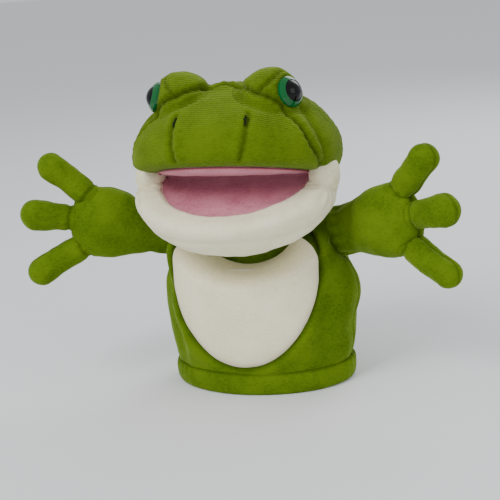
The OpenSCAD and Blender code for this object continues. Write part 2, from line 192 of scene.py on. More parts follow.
def spline(at, knots, values):
    """A smooth curve through values at knots."""
    knots, values = np.asarray(knots, float), np.asarray(values, float)
    slope = np.gradient(values, knots)
    i = np.clip(np.searchsorted(knots, at) - 1, 0, len(knots) - 2)
    h = knots[i + 1] - knots[i]
    t = np.clip((at - knots[i]) / h, 0, 1)
    return ((2 * t**3 - 3 * t**2 + 1) * values[i] + (t**3 - 2 * t**2 + t) * h * slope[i]
            + (3 * t**2 - 2 * t**3) * values[i + 1] + (t**3 - t**2) * h * slope[i + 1])


def net(rows, columns, round_rows=False):
    """Faces of a grid that closes round its columns, and round its rows where asked."""
    r = np.arange(rows if round_rows else rows - 1)[:, None]
    c = np.arange(columns)[None, :]
    r1, c1 = (r + 1) % rows, (c + 1) % columns
    corners = [r * columns + c, r * columns + c1, r1 * columns + c1, r1 * columns + c]
    return np.stack(corners, -1).reshape(-1, 4)


def normals(points, faces):
    """The way each point of a net faces, averaged over the faces that meet there."""
    ring = points[faces]
    across = np.cross(ring[:, 2] - ring[:, 0], ring[:, 3] - ring[:, 1])
    out = np.zeros_like(points)
    for k in range(4):
        np.add.at(out, faces[:, k], across)
    return out / np.maximum(np.linalg.norm(out, axis=1, keepdims=True), 1e-9)


def slack(p, size, seed):
    """The unevenness of hand-stuffed cloth, from -1 to 1, in swells about size mm long."""
    out = np.zeros(len(p))
    for k, (a, b, c) in enumerate(((1, 0.6, 0.3), (-0.5, 1, 0.7), (0.4, -0.8, 1), (0.9, 0.5, -0.8))):
        wave = (a * p[:, 0] + b * p[:, 1] + c * p[:, 2]) * 2 * math.pi / size
        out += np.sin(wave + seed * 1.7 + k * 2.1 + 0.8 * np.sin(wave * 0.37 + k))
    return out / 4


def cloth(name, points, faces, material, crease=None, flip=False):
    """A piece of cloth from points in millimetres, with each point's rest place and painted shade."""
    faces = faces[:, ::-1] if flip else faces
    mesh = bpy.data.meshes.new(name)
    mesh.from_pydata((points / 1000).tolist(), [], faces.tolist())
    mesh.shade_smooth()
    place = mesh.attributes.new("rest", "FLOAT_VECTOR", "POINT")
    place.data.foreach_set("vector", (points / 1000).ravel().astype(np.float32))
    mark = mesh.attributes.new("crease", "FLOAT", "POINT")
    shade = np.zeros(len(points)) if crease is None else np.clip(crease, 0, 1)
    mark.data.foreach_set("value", shade.astype(np.float32))
    piece = bpy.data.objects.new(name, mesh)
    bpy.context.scene.collection.objects.link(piece)
    mesh.materials.append(material)
    return piece


def body_y(x, z):
    """Front of the body at a height and a distance from the middle."""
    full = 1 - ((z - WAIST_Z) / BODY_HALF[2]) ** 2 - (x / BODY_HALF[0]) ** 2
    return -BODY_HALF[1] * np.sqrt(np.maximum(full, 0.0))


turn = np.linspace(0, 2 * math.pi, 240, endpoint=False)
c, s = np.cos(turn), np.sin(turn)
front = np.clip(-s, 0, 1)
edge_z = NECK_Z - (NECK_Z - CHEST_Z) * front
wall = []
for t in np.linspace(0, 1, 96):
    z = BODY_LOW_Z + (edge_z - 8 - 5 * front - BODY_LOW_Z) * t
    full = np.sqrt(1 - ((z - WAIST_Z) / BODY_HALF[2]) ** 2)
    full = full + 0.012 * np.exp(-((z - 40) / 26) ** 2)
    wall.append(np.stack([BODY_HALF[0] * full * c, BODY_HALF[1] * full * s, z], -1))
last = wall[-1]
ring = np.stack([51.5 * c, 5 + np.where(s > 0, 34.0, 24.0) * s, edge_z + 8 - 8 * front], -1)
knee = np.stack([last[:, 0] * 0.95, last[:, 1] * 0.95, edge_z + 4 - 7 * front], -1)
for t in np.linspace(0, 1, 16)[1:]:
    wall.append((1 - t) ** 2 * last + 2 * t * (1 - t) * knee + t * t * ring)
for t in np.linspace(0, 1, 14)[1:]:
    up = ring * (1 - 0.05 * t, 1, 1)
    up[:, 2] += (159 - ring[:, 2]) * t
    up[:, 1] -= 5.0 * front * t + 5.0 * np.clip(s, 0, 1) * t
    wall.append(up)
outer = np.array(wall)
rows, columns = outer.shape[:2]
p = outer.reshape(-1, 3).copy()
faces = net(rows, columns)
n = normals(p, faces)
above = p[:, 2] > BELLY_MID_Z
oval = np.sqrt((p[:, 0] / BELLY_HALF_W) ** 2
               + ((p[:, 2] - BELLY_MID_Z) / np.where(above, BELLY_TOP_H, BELLY_HALF_H)) ** 2)
ahead = (p[:, 1] < -6) & (p[:, 2] < edge_z.max())
inside = np.clip((1.03 - oval) / 0.06, 0, 1) * ahead
groove = np.exp(-((oval - 1.0) * OVAL_MEAN_R / 2.4) ** 2) * ahead
pile = np.exp(-((oval - 1.09) * OVAL_MEAN_R / 4.0) ** 2) * ahead
side_seam = np.exp(-(p[:, 1] / 1.6) ** 2) * (p[:, 2] < 118)
arm_ring = np.zeros(len(p))
arm_hollow = np.zeros(len(p))
for side in (1, -1):
    away = np.linalg.norm(p - SHOULDER * (side, 1, 1), axis=1)
    arm_ring += np.exp(-((away - 21.5) / 3.2) ** 2)
    arm_hollow += np.exp(-(away / 24) ** 2)
folds = np.zeros(len(p))
for x, z, lean, long, deep in ((60, 96, 0.5, 24, 3.2), (70, 84, 0.25, 30, 2.6), (66, 56, 0.1, 34, 2.4),
                               (-70, 92, -0.45, 24, 3.0), (-66, 64, -0.2, 34, 2.2), (74, 60, -0.3, 26, 1.8),
                               (-58, 38, 0.1, 24, 1.6), (48, 34, -0.2, 26, 1.6)):
    for facing in (1, -1):
        here = np.exp(-((p[:, 2] - z) / long) ** 2) * (p[:, 1] * facing < 14)
        line = (p[:, 0] - x - lean * (p[:, 2] - z)) / 6.0
        folds += deep * here * (np.exp(-line**2) - 0.55 * np.exp(-((line - 1.6) ** 2)))
lift = (-1.9 * inside - 2.2 * groove + 1.3 * pile - 1.2 * side_seam - 2.6 * arm_ring
        - 0.6 * arm_hollow - 1.0 * folds + 1.1 * slack(p, 62, 2) + 0.35 * slack(p, 21, 5))
lift *= np.clip((p[:, 2] - 12) / 10, 0.15, 1)
p += n * lift[:, None]
inner = p - n * BODY_THICK
both = np.concatenate([p.reshape(rows, columns, 3), inner.reshape(rows, columns, 3)[::-1]])
# Painted shade: the colour is darkened along the belly seam's groove, the side seams and the arm seams.
crease = np.concatenate([(0.9 * groove + 0.35 * side_seam + 0.6 * arm_ring).reshape(rows, columns),
                         np.zeros((rows, columns))])
body_cloth = cloth("body_cloth", both.reshape(-1, 3), net(2 * rows, columns, True), GREEN,
                   crease.ravel())
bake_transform(body_cloth)
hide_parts("body_front", "body_back")

# ---- Belly ----
# An oval of cream short-pile cloth set into the front. It is sewn to the green all round on
# the wrong side, so both cloths roll down into the seam.


CREAM = plush("cream_plush_cloth", (0.92, 0.86, 0.62), (0.85, 0.78, 0.54),
              (0.70, 0.62, 0.40), (0.96, 0.93, 0.80), depth=0.0007, roughness=0.95)

across = np.sin(np.linspace(-1, 1, 120) * math.pi / 2) * 0.985
x = BELLY_HALF_W * across
low = BELLY_MID_Z - BELLY_HALF_H * np.sqrt(1 - (x / BELLY_HALF_W) ** 2)
high = np.full_like(x, 100.0)
for _ in range(12):
    high = NECK_Z - (NECK_Z - CHEST_Z) / BODY_HALF[1] * -body_y(x, high)
high = np.maximum(high - 8.5 + 5 * body_y(x, high) / BODY_HALF[1], low + 6)
v = (1 - np.cos(np.linspace(0, 1, 110) * math.pi)) / 2
z = low[None, :] + (high - low)[None, :] * v[:, None]
xx = x * np.sqrt(1 - ((z - BELLY_MID_Z).clip(0) / BELLY_TOP_H) ** 2)
y = body_y(xx, z)
p = np.stack([xx, y, z], -1).reshape(-1, 3)
n = np.stack([xx / BODY_HALF[0] ** 2, y / BODY_HALF[1] ** 2, (z - WAIST_Z) / BODY_HALF[2] ** 2], -1)
n = (n / np.linalg.norm(n, axis=-1, keepdims=True)).reshape(-1, 3)
rise = p[:, 2] - BELLY_MID_Z
rim = np.sqrt((p[:, 0] / BELLY_HALF_W) ** 2 + (rise / np.where(rise > 0, BELLY_TOP_H, BELLY_HALF_H)) ** 2)
inset = (1 - rim) * OVAL_MEAN_R
proud = 1.9 * (1 - np.exp(-np.maximum(inset, 0) / 3.4)) - 1.9
swell = 0.5 * slack(p, 58, 1) + 0.2 * slack(p, 19, 3)
top = p + n * (proud + 0.6 + swell)[:, None]
under = p + n * (proud.clip(-3, -0.9) - 1.6)[:, None]
r, k = z.shape
top, under, inset = top.reshape(r, k, 3), under.reshape(r, k, 3), inset.reshape(r, k)
brow = top[-1]
facing = np.abs(brow[:, 1]) / BODY_HALF[1]
slope = NECK_Z - (NECK_Z - CHEST_Z) * facing
knee = np.stack([brow[:, 0] * 0.94, brow[:, 1] * 0.965, slope + 5.6 - 7 * facing], -1)
throat = np.stack([brow[:, 0] * 0.66, np.full(k, -21.0), slope + 9.4 - 8 * facing], -1)
tucked = []
for t in np.linspace(0, 1, 22)[1:]:
    tucked.append((1 - t) ** 2 * brow + 2 * t * (1 - t) * knee + t * t * throat)
tucked = np.array(tucked)
top = np.concatenate([top, tucked])
under = np.concatenate([under, tucked - (0, -0.6, 1.4)])
inset = np.concatenate([inset, np.broadcast_to((64 - np.abs(brow[:, 0])) * 0.5, (21, k))])
r += 21
sheet = np.concatenate([top, under[:, ::-1]], axis=1)
# Painted shade: the cream is darkened where it rolls down into the seam.
seam = np.exp(-np.maximum(inset, 0) / 2.0)
belly = cloth("belly_cloth", sheet.reshape(-1, 3), net(r, 2 * k), CREAM,
              np.concatenate([seam, seam[:, ::-1]], axis=1).ravel() * 0.7)
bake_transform(belly)
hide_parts("belly_patch")

# ---- Hem ----
# The body cloth's lower edge, folded under and blind-stitched inside, so that it stands out
# as a plain round band, with a line of painted shade where the stitches pull it in.

HEM_FLAT = 0.725
profile = np.array([(73.2, 18.9), (75.6, 17.6), (77.0, 14.8), (77.4, 10.5), (77.0, 6.0), (76.2, 2.6),
                    (74.8, 0.6), (73.0, 0.1), (71.2, 0.8), (70.6, 3.0), (70.4, 9.0), (70.6, 15.5),
                    (71.6, 18.4)])
knots = np.arange(len(profile) + 6) - 3
at = np.linspace(0, len(profile), 66, endpoint=False)
wrapped = profile[knots % len(profile)]
ring_r, ring_z = spline(at, knots, wrapped[:, 0]), spline(at, knots, wrapped[:, 1])
turn = np.linspace(0, 2 * math.pi, 300, endpoint=False)
ripple = 0.35 * np.sin(turn * 46 + 2 * np.sin(turn * 5)) + 0.5 * np.sin(turn * 7 + 1)
top_share = np.exp(-((ring_z - 17) / 3.5) ** 2)[:, None]
r_all = ring_r[:, None] + ripple[None, :] * (0.25 + 0.75 * top_share)
z_all = ring_z[:, None] + 0.5 * np.sin(turn * 3 + 0.6)[None, :] * (ring_z[:, None] > 4)
p = np.stack([r_all * np.cos(turn), HEM_FLAT * r_all * np.sin(turn), z_all.clip(0.05)], -1).reshape(-1, 3)
# Painted shade: a darkened line round the top of the band, where the stitches pull it in.
stitch_shade = np.exp(-((p[:, 2] - 18.5) / 1.8) ** 2)
hem = cloth("hem_fold", p, net(len(at), 300, True), GREEN, 0.75 * stitch_shade, flip=True)
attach(hem, "torso")
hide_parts("hem_band")

# ---- Hand lining ----
# A loose sleeve of cream woven cotton inside the body that guides the hand up to the neck.
# It is caught in the hem's stitches below and in the neck seam above.


def woven(name, pale, deep):
    """Plain-woven cotton: crossed threads and the soft shade of its wrinkles."""
    made = Finish(name, Sheen_Weight=0.2, Roughness=0.88, Specular_IOR_Level=0.2)
    threads = []
    for turned in ((1, 1, 0.08), (0.08, 0.08, 1)):
        threads.append(made.noise(1500, 1, turned))
    weave = threads[0] * 0.5 + threads[1] * 0.5
    colour = made.mix(made.ease(weave, 0.42, 0.58) * 0.5, deep, pale)
    colour = made.mix(made.ease(made.noise(30, 2), 0.35, 0.7) * 0.4, colour, deep)
    # Painted shade from each point's shade mark, as on the plush.
    made.feed("Base Color", made.mix(made.mark("crease") * 0.5, colour, tuple(0.5 * c for c in deep)))
    made.bump(weave, 0.0004, 0.6)
    return made.material


COTTON = woven("lining_cotton", (0.78, 0.75, 0.66), (0.62, 0.58, 0.48))
LINING_LOW_Z, LINING_HIGH_Z = 17.5, 101.0
LINING_LOW_R, LINING_HIGH_R, LINING_FLAT = 69.6, 50.4, 0.72
heights = np.linspace(LINING_LOW_Z, LINING_HIGH_Z, 60)
turn = np.linspace(0, 2 * math.pi, 220, endpoint=False)
up = (heights - LINING_LOW_Z) / (LINING_HIGH_Z - LINING_LOW_Z)
radius = (LINING_LOW_R + (LINING_HIGH_R - LINING_LOW_R) * up)[:, None]
wrinkle = (np.sin(turn * 11 + 0.8)[None, :] + 0.6 * np.sin(turn * 19 + 3 * up[:, None]))
radius = radius - 1.3 - 0.9 * wrinkle * np.sin(np.pi * up.clip(0, 1))[:, None]
outer = np.stack([radius * np.cos(turn), LINING_FLAT * radius * np.sin(turn),
                  np.broadcast_to(heights[:, None], radius.shape)], -1)
inner = outer * ((radius - 0.9) / radius)[..., None] * (1, 1, 0) + outer * (0, 0, 1)
lining = cloth("hand_lining", np.concatenate([outer, inner[::-1]]).reshape(-1, 3),
               net(120, 220, True), COTTON)
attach(lining, "torso")
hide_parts("body_lining")

# ---- Head cloth ----
# The green cover of the head: a snout panel, two cheeks and a back panel sewn together, with
# two round caps let in for the eyes and two darts that shape the nose. It is stuffed firmly.

FOLD = np.array([0.0, -28.0, 178.0])
HEAD_PITCH, JAW_PITCH = math.radians(-16), math.radians(22)
CROWN, CROWN_AT = (84.0, 62.0, 54.0), (0.0, 0.0, 18.0)
SNOUT, SNOUT_AT = (76.0, 46.0, 44.0), (0.0, -27.0, 12.0)
MOUND_R, MOUND_AT = 24.0, np.array([36.0, -27.0, 54.0])
EYE_SPLAY, EYE_LEAN, EYE_SEAT = math.radians(62), math.radians(10), 20.78


def pitched(p, angle):
    """From the frame of the head or the jaw to the whole puppet's."""
    c, s = math.cos(angle), math.sin(angle)
    return p @ np.array([[1, 0, 0], [0, c, s], [0, -s, c]]) + FOLD


def egg(p, at, radii):
    """Distance to an ellipsoid, below zero inside it."""
    k = (p - np.asarray(at)) / np.asarray(radii)
    k0 = np.linalg.norm(k, axis=1)
    return k0 * (k0 - 1) / np.maximum(np.linalg.norm(k / np.asarray(radii), axis=1), 1e-9)


def melt(a, b, soft):
    """Two forms joined with a soft hollow between them."""
    h = np.clip(0.5 + 0.5 * (b - a) / soft, 0, 1)
    return b * (1 - h) + a * h - soft * h * (1 - h)


def trim(a, b, soft):
    """What two forms share, with a soft edge."""
    return -melt(-a, -b, soft)


def round_net(n):
    """Directions spread evenly over a ball, as six patches of n by n squares."""
    a = np.tan(np.linspace(-math.pi / 4, math.pi / 4, n + 1))
    u, v = np.meshgrid(a, a, indexing="ij")
    one = np.ones_like(u)
    spots, quads = [], []
    cell = np.arange(n)[:, None] * (n + 1) + np.arange(n)[None, :]
    square = np.stack([cell, cell + n + 1, cell + n + 2, cell + 1], -1).reshape(-1, 4)
    for k, patch in enumerate(([one, u, v], [-one, v, u], [v, one, u], [u, -one, v], [u, v, one],
                               [v, u, -one])):
        spots.append(np.stack(patch, -1).reshape(-1, 3))
        quads.append(square + k * (n + 1) ** 2)
    spots, quads = np.concatenate(spots), np.concatenate(quads)
    spots /= np.linalg.norm(spots, axis=1, keepdims=True)
    kept, where = np.unique(np.round(spots, 6), axis=0, return_inverse=True)
    return kept / np.linalg.norm(kept, axis=1, keepdims=True), where.ravel()[quads]


def cast(form, middle, ways, reach):
    """The outermost points of a form along rays from its middle."""
    middle = np.asarray(middle, float)
    low, high = np.zeros(len(ways)), np.full(len(ways), float(reach))
    found = np.zeros(len(ways), bool)
    steps = np.linspace(reach, 0, 70)
    for outer_step, step in zip(steps, steps[1:]):
        hit = ~found & (form(middle + ways * step) < 0)
        low[hit], high[hit] = step, outer_step
        found |= hit
    for _ in range(12):
        half = (low + high) / 2
        within = form(middle + ways * half[:, None]) < 0
        low, high = np.where(within, half, low), np.where(within, high, half)
    return middle + ways * low[:, None]


def lay(line, points, smooth=3):
    """A seam line laid on a surface: it is drawn through marks and pulled on to the points."""
    line = np.asarray(line, float)
    run = np.r_[0, np.cumsum(np.linalg.norm(np.diff(line, axis=0), axis=1))]
    at = np.linspace(0, run[-1], 48)
    drawn = np.stack([spline(at, run, line[:, k]) for k in range(3)], -1)
    near_at = [np.argmin(((points - q) ** 2).sum(1)) for q in drawn]
    laid = points[near_at]
    for _ in range(smooth):
        laid[1:-1] = (laid[:-2] + 2 * laid[1:-1] + laid[2:]) / 4
    return laid


def beside(points, line):
    """Each point's distance from a line, and how far along the line that is."""
    far = np.full(len(points), 1e9)
    along = np.zeros(len(points))
    run = 0.0
    for a, b in zip(line, line[1:]):
        d = b - a
        size = max(d @ d, 1e-9)
        t = np.clip((points - a) @ d / size, 0, 1)
        away = np.linalg.norm(points - a - t[:, None] * d, axis=1)
        closer = away < far
        far[closer], along[closer] = away[closer], (run + t * math.sqrt(size))[closer]
        run += math.sqrt(size)
    return far, along


def sewn(points, line, depth, width, pucker=0.0, pitch=7.0):
    """How far a seam pulls the cloth down into a groove, and how much painted shade the groove gets."""
    far, along = beside(points, lay(line, points))
    dark = np.exp(-((far / width) ** 2))
    plump = np.exp(-(((far - 2.6 * width) / (1.6 * width)) ** 2))
    ripple = np.sin(along * 2 * math.pi / pitch) * np.exp(-((far / (3.2 * width)) ** 2))
    return -depth * dark + 0.3 * depth * plump + pucker * ripple, dark


def mirrored(line):
    """The same line on the other side of the head."""
    return [(-x, y, z) for x, y, z in line]


def head_form(p):
    """The stuffed head: crown, snout and two eye caps, cut flat above the mouth."""
    form = melt(egg(p, CROWN_AT, CROWN), egg(p, SNOUT_AT, SNOUT), 6.0)
    for side in (1, -1):
        form = melt(form, egg(p, MOUND_AT * (side, 1, 1), (MOUND_R + 0.5,) * 3), 4.5)
    return trim(form, -p[:, 2] + 0.4, 7.0)


ways, faces = round_net(96)
p = cast(head_form, (0, -6, 20), ways, 110)
n = normals(p, faces)
if (n * (p - p.mean(0))).sum() < 0:
    faces = faces[:, ::-1]
    n = -n
lift = 0.9 * slack(p, 47, 4) + 0.3 * slack(p, 17, 2)
shade = np.zeros(len(p))
snout_seam = [(74, -20, 1), (75, -33, 10), (71.5, -41, 19), (66, -42, 31), (56, -46, 44), (45, -51, 51),
              (32, -52, 56), (20, -43, 62), (10, -31, 66), (0, -27, 67)]
under_eye = [(77, -22, 6), (76, -25, 17), (72, -29, 29), (67, -29, 38), (61, -27, 46)]
nose_dart = [(29.5, -58, 40), (30, -61, 36), (30, -64.6, 30.5), (29.3, -68, 18), (26, -68, 3)]
cap_dart = [(33, -51, 55), (39, -49.7, 61), (45, -44, 68), (47, -36, 73)]
cheek_seam = [(84, 14, 12), (80, 14, 28), (66, 13, 45), (50, 8, 56)]
back_seam = [(0, -24, 68), (0, 10, 71), (0, 40, 60), (0, 60, 32), (0, 61, 6)]
# Each seam: its line, groove depth, width, pucker, and how strongly its groove is darkened with painted
# shade.
for line, depth, width, pucker, dark in (
        (snout_seam, 2.6, 2.0, 0.35, 0.9), (under_eye, 1.8, 3.4, 0.0, 0.35),
        (nose_dart, 2.0, 2.0, 0.25, 0.6), (cap_dart, 1.7, 1.8, 0.2, 0.6),
        (cheek_seam, 1.6, 1.8, 0.25, 0.6)):
    for drawn in (line, mirrored(line)):
        pull, stitch_shade = sewn(p, drawn, depth, width, pucker)
        lift += pull
        shade = np.maximum(shade, dark * stitch_shade)
# The back seam's groove gets painted shade too.
pull, stitch_shade = sewn(p, back_seam, 1.6, 1.7, 0.2)
lift += pull
shade = np.maximum(shade, 0.6 * stitch_shade)
for side in (1, -1):
    mound = p - MOUND_AT * (side, 1, 1)
    around = np.abs(np.linalg.norm(mound, axis=1) - MOUND_R - 1)
    foot = np.exp(-((np.abs(egg(p, CROWN_AT, CROWN) - 1.5)) / 1.8) ** 2) * (around < 5)
    lift -= 1.2 * foot
    # Painted shade at the foot of the eye cap.
    shade = np.maximum(shade, 0.35 * foot)
    axis = np.array([side * math.sin(EYE_SPLAY) * math.cos(EYE_LEAN),
                     -math.cos(EYE_SPLAY) * math.cos(EYE_LEAN), math.sin(EYE_LEAN)])
    depth = mound @ axis
    off_axis = np.linalg.norm(mound - depth[:, None] * axis, axis=1)
    seat = (depth > 0) & (np.linalg.norm(mound, axis=1) < 31)
    down = np.where(seat & (off_axis < 14.5), depth - (EYE_SEAT + 1.1 * np.clip(off_axis - 11.4, 0, 3)), 0)
    p -= axis * np.clip(down, 0, 9)[:, None]
    lift = np.where(seat & (off_axis < 13.5), np.minimum(lift, -0.2), lift)
    # Painted shade in a ring round the rim of the eye's seat.
    shade = np.maximum(shade, 0.55 * seat * np.exp(-((off_axis - 12.2) / 1.2) ** 2))
under = np.clip((4 - p[:, 2]) / 4, 0, 1)
lift *= 1 - under
p += n * lift[:, None]
# Painted shade over the underside of the head.
shade = np.maximum(shade, 0.25 * under)
RIBBED = plush("ribbed_green_plush", (0.128, 0.208, 0.006), (0.086, 0.152, 0.003),
               (0.044, 0.086, 0.001), (0.62, 0.80, 0.22), rib=0.22)
head = cloth("head_cover", pitched(p, HEAD_PITCH), faces, RIBBED, shade)
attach(head, "head")
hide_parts("snout_panel", "cheek_left", "cheek_right", "head_back", "head_filling",
            "eye_mound_left", "eye_mound_right", "mound_filling_left", "mound_filling_right")

# ---- Nostril stitches ----
# A few turns of dark thread laid down the top of each nose dart, which pull it into a slit.

thread = Finish("dark_thread", Roughness=0.8, Specular_IOR_Level=0.1)
strand = thread.noise(2400, 2, (1, 1, 0.3))
thread.feed("Base Color", thread.mix(strand, (0.004, 0.009, 0.001), (0.016, 0.028, 0.003)))
thread.bump(strand, 0.0003, 0.8)
THREAD = thread.material
for side, tag in ((1, "left"), (-1, "right")):
    marks = np.array([(29.8, -60.5, 38.2), (30.0, -62.4, 35.4), (30.0, -64.0, 32.4), (29.8, -65.4, 29.2)])
    path = lay(marks * (side, 1, 1), p, 6)[::3]
    run = np.linspace(0, 1, len(path))
    girth = 1.5 * np.sin(math.pi * run.clip(0.03, 0.97)) ** 0.6
    around = np.linspace(0, 2 * math.pi, 14, endpoint=False)
    ring = np.stack([np.cos(around), 0.35 * np.sin(around), 0.8 * np.sin(around)], -1)
    twist = 1 + 0.14 * np.sin(3 * around[None, :] + 9 * run[:, None] * math.pi)
    q = path[:, None, :] + (0, -0.9, 0.5) + girth[:, None, None] * twist[..., None] * ring
    stitch = cloth("nostril_thread_" + tag, pitched(q.reshape(-1, 3), HEAD_PITCH),
                   net(len(path), 14), THREAD)
    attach(stitch, "head")
    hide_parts("nostril_stitch_" + tag)

# ---- Eyes ----
# Safety eyes of moulded plastic: a low clear-green dome with a black pupil set in it, on a
# shank that goes through the cap and is locked behind the cloth by a pressed-on washer.

rim = Finish("green_eye_plastic", Roughness=0.08, IOR=1.49, Specular_IOR_Level=0.35)
cloudy = rim.noise(120, 2)
rim.feed("Base Color", rim.mix(cloudy, (0.0, 0.040, 0.009), (0.002, 0.150, 0.032)))
black = Finish("black_eye_plastic", Roughness=0.06, Specular_IOR_Level=0.22)
black.feed("Base Color", black.mix(black.noise(400, 2), (0.001, 0.001, 0.001), (0.004, 0.004, 0.004)))
nylon = Finish("white_washer_plastic", Roughness=0.45, IOR=1.5)
nylon.feed("Base Color", nylon.mix(nylon.noise(500, 2), (0.72, 0.72, 0.70), (0.82, 0.82, 0.80)))
for node, finish in (("eye_lens", rim), ("eye_pupil", black), ("eye_washer", nylon)):
    for tag in ("left", "right"):
        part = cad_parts[f"{node}_{tag}"]
        part.data.materials.clear()
        part.data.materials.append(finish.material)

# ---- Foam boards ----
# Two thin sheets of firm open-cell foam inside the head and the jaw, one behind the palate and
# one under the mouth floor, that keep the mouth flat while the hand works it.

foam = Finish("foam_board", Roughness=0.9)
cells = foam.noise(900, 3)
foam.feed("Base Color", foam.mix(cells, (0.62, 0.58, 0.48), (0.80, 0.77, 0.68)))
foam.bump(cells, 0.0004, 0.6)
for node in ("palate_board", "jaw_board"):
    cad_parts[node].data.materials.clear()
    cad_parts[node].data.materials.append(foam.material)

# ---- Jaw cover ----
# The lower jaw's cream cloth: a full chin with a thick rolled lip, drawn up in a fold of
# spare cloth at each corner of the mouth, and sewn flat across the back. It is stuffed.

JAW, JAW_AT = (83.0, 67.0, 48.0), (0.0, -10.0, -6.0)
MOUTH_HALF_W, MOUTH_LEN, MOUTH_MEAN_R = 62.0, 58.0, 60.0
BACK_LEAN = math.radians(14)


def jaw_form(p):
    """The stuffed jaw: one ellipsoid, cut flat on top and leaning at the back."""
    form = egg(p, JAW_AT, JAW)
    form = trim(form, p[:, 2] - 1.0, 9.0)
    back = p[:, 1] * math.cos(BACK_LEAN) - p[:, 2] * math.sin(BACK_LEAN) + 1.6
    return trim(form, back, 5.0)


p = cast(jaw_form, (0, -34, -20), ways, 110)
n = normals(p, faces)
if (n * (p - p.mean(0))).sum() < 0:
    n = -n
dish = np.sqrt((p[:, 0] / (MOUTH_HALF_W + 1)) ** 2 + (p[:, 1] / (MOUTH_LEN + 1)) ** 2)
topside = np.clip((p[:, 2] + 14) / 5, 0, 1) * (n[:, 2] > -0.4)
sunk = np.clip((1.04 - dish) / 0.14, 0, 1)
sunk = topside * sunk * sunk * (3 - 2 * sunk)
lift = (0.9 * slack(p, 44, 7) + 0.35 * slack(p, 16, 1)) * (1 - sunk)
tuck = np.exp(-((p[:, 2] + 17 - 3 * np.cos(p[:, 0] / 30)) / 3.0) ** 2) * (p[:, 1] < -20) * (n[:, 2] < 0.7)
lift -= 0.7 * tuck
# Painted shade in the tuck round the front of the jaw.
shade = 0.12 * tuck
for side in (1, -1):
    corner = p - np.array([side * 74.0, -22.0, 0.0])
    away = np.linalg.norm(corner, axis=1)
    fan = np.arctan2(corner[:, 2], -corner[:, 1])
    gather = np.exp(-((away - 9) / 10) ** 2) * (side * p[:, 0] > 50)
    lift += 0.9 * gather * np.sin(fan * 9)
    # Painted shade in the troughs of the gathers at each mouth corner.
    shade = np.maximum(shade, 0.35 * gather * (0.5 - 0.5 * np.sin(fan * 9)))
p += n * lift[:, None]
p[:, 2] -= sunk * 9.0
jaw_edge = np.exp(-((dish - 1.0) * MOUTH_MEAN_R / 2.2) ** 2) * topside
# Painted shade round the rim of the mouth's dish.
shade = np.maximum(shade, 0.6 * jaw_edge)
jaw = cloth("jaw_cover", pitched(p, JAW_PITCH), faces, CREAM, shade)
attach(jaw, "jaw")
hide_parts("chin_panel", "jaw_filling")
small_ways, small_faces = round_net(28)
for side, tag in ((1, "left"), (-1, "right")):
    lobe_at, lobe = (side * 73.0, -4.5, 1.0), (12.0, 15.5, 16.0)
    q = cast(lambda p: egg(p, lobe_at, lobe), lobe_at, small_ways, 30)
    m = normals(q, small_faces)
    m = m if (m * (q - q.mean(0))).sum() > 0 else -m
    fan = np.arctan2(q[:, 2] + 6, -(q[:, 1] + 26))
    q = q + m * (0.3 * np.sin(fan * 8) * (q[:, 1] < 2) + 0.4 * slack(q, 18, side))[:, None]
    # Painted shade in the troughs of the corner folds.
    corner = cloth("mouth_corner_" + tag, pitched(q, JAW_PITCH), small_faces, CREAM,
                   0.12 * (0.5 - 0.5 * np.sin(fan * 8)) * (q[:, 1] < 0))
    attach(corner, "jaw")

# ---- Mouth lining ----
# One ellipse of pink short-pile cloth folded across the middle: the upper half is the palate,
# the lower half the floor, and the fold between them is the mouth's hinge. A red seam edges it.

PINK = plush("pink_mouth_cloth", (0.70, 0.30, 0.37), (0.56, 0.195, 0.265),
             (0.36, 0.095, 0.145), (0.98, 0.74, 0.80), depth=0.0006, roughness=0.9)
seam_red = Finish("red_seam", Roughness=0.75, Sheen_Weight=0.3)
strand = seam_red.noise(1700, 2)
seam_red.feed("Base Color", seam_red.mix(strand, (0.30, 0.030, 0.055), (0.44, 0.075, 0.11)))
seam_red.bump(strand, 0.0004, 0.8)


def half_oval(height, half_w, length, thick, back):
    """A half ellipse of cloth ahead of the fold, its upper side at height(share, x, y)."""
    fan = np.linspace(math.pi, 2 * math.pi, 120)
    share = np.linspace(0, 1, 50)[:, None]
    x = half_w * share * np.cos(fan)
    y = length * share * np.sin(fan) - back
    z = height(np.broadcast_to(share, x.shape), x, y)
    upper = np.stack([x, y, z], -1)
    lower = upper - (0, 0, thick)
    return np.concatenate([upper, lower[:, ::-1]], axis=1)


def palate_height(share, x, y):
    """The palate: its padding swells down into the mouth, and thins towards the fold."""
    return -0.6 - 4.3 * np.sqrt(np.maximum(1 - share**2.4, 0)) * np.clip(0.03 - y / 42, 0, 1) ** 0.5


def floor_height(share, x, y):
    """The mouth floor: dished inside its lip, and raised where it meets the fold."""
    swell = 1.6 * np.cos(x / 17) * np.exp(-((y + 30) / 22) ** 2)
    return -6.2 + 5.4 * share**7 + 0.5 * swell + 3.8 * np.exp((y + 2) / 4.0) * (1 - share**7)


